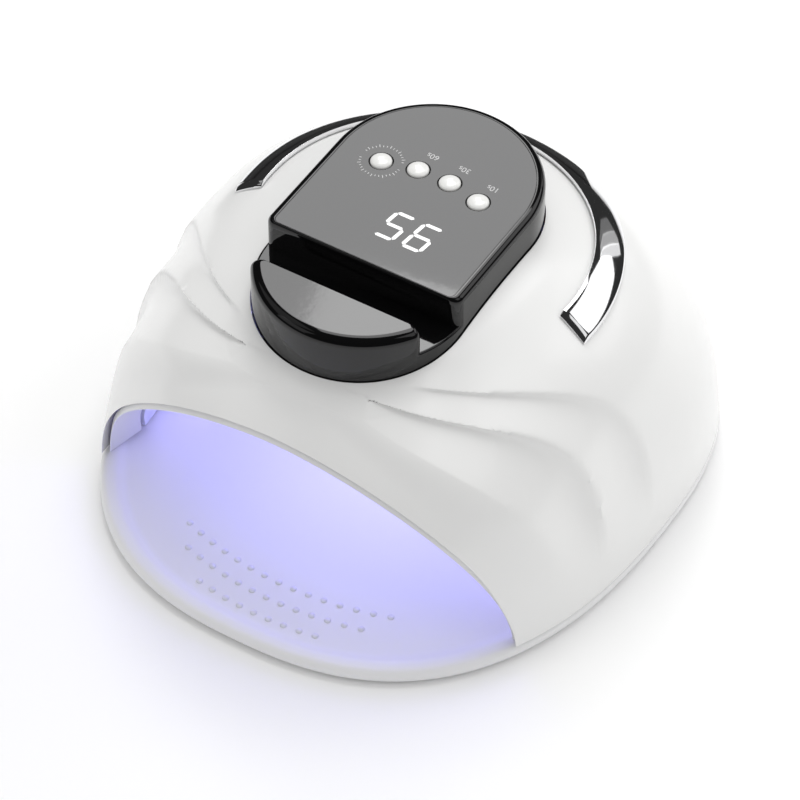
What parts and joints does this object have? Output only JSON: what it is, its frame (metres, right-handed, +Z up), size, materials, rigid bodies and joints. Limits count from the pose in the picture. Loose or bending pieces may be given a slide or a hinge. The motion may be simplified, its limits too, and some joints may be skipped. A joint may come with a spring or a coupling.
{
  "type": "uv curing lamp",
  "caption": "Dome-shaped UV LED curing lamp with an arched hand opening, a black control module with push buttons and phone slot, a chrome band and a loose magnetic base plate.",
  "frame": {"origin": "centre of the footprint, on the table under the rubber feet", "axes": "+Z up; -Y towards the hand opening; +Y towards the user's side of the display; +X to the right seen from the hand opening"},
  "size_m": [0.206, 0.224, 0.119],
  "materials": {
    "base_white": "satin",
    "foot_rubber": "matt",
    "magnet_metal": "satin",
    "dot_silicone": "satin",
    "shell_white": "gloss",
    "frame_white": "gloss",
    "reflector_white": "satin",
    "ring_white": "matt",
    "screw_steel": "satin",
    "led_board": "satin",
    "led_lens": "gloss",
    "sensor_black": "gloss",
    "module_black": "high gloss",
    "smoked_glass": "high gloss",
    "display_face": "matt",
    "pcb_green": "satin",
    "component_black": "matt",
    "button_white": "gloss",
    "band_chrome": "mirror",
    "inlet_black": "satin",
    "wire_red": "satin"
  },
  "bodies": {
    "base": {"base_plate": "base_white", "base_feet": "foot_rubber", "base_magnets": "magnet_metal", "grip_dots": "dot_silicone"},
    "lamp": {"upper_shell": "shell_white", "arch_frame": "frame_white", "reflector": "reflector_white", "chassis_ring": "ring_white", "chassis_screws": "screw_steel", "lamp_magnets": "magnet_metal", "led_board_roof": "led_board", "led_board_left_upper": "led_board", "led_board_right_upper": "led_board", "led_board_left_lower": "led_board", "led_board_right_lower": "led_board", "led_board_rear": "led_board", "led_beads": "led_lens", "motion_sensor": "sensor_black", "module_housing": "module_black", "display_glass": "smoked_glass", "digit_display": "display_face", "control_board": "pcb_green", "board_parts": "component_black", "board_screws": "screw_steel", "tact_switches": "component_black", "chrome_band": "band_chrome", "band_nuts": "screw_steel", "dc_socket": "inlet_black", "wiring_harness": "wire_red"},
    "button_1": {"button_1": "button_white"},
    "button_2": {"button_2": "button_white"},
    "button_3": {"button_3": "button_white"},
    "button_4": {"button_4": "button_white"}
  },
  "joints": [
    {"name": "lamp_lift", "type": "slide", "parent": "base", "child": "lamp", "axis": [0, 0, 1], "range_m": [0, 0.04]},
    {"name": "button_1_press", "type": "slide", "parent": "lamp", "child": "button_1", "axis": [0, 0, -1], "range_m": [0, 0.0008], "stiffness_N_per_m": 400, "springref_m": -0.0003},
    {"name": "button_2_press", "type": "slide", "parent": "lamp", "child": "button_2", "axis": [0, 0, -1], "range_m": [0, 0.0008], "stiffness_N_per_m": 400, "springref_m": -0.0003},
    {"name": "button_3_press", "type": "slide", "parent": "lamp", "child": "button_3", "axis": [0, 0, -1], "range_m": [0, 0.0008], "stiffness_N_per_m": 400, "springref_m": -0.0003},
    {"name": "button_4_press", "type": "slide", "parent": "lamp", "child": "button_4", "axis": [0, 0, -1], "range_m": [0, 0.0008], "stiffness_N_per_m": 400, "springref_m": -0.0003}
  ]
}
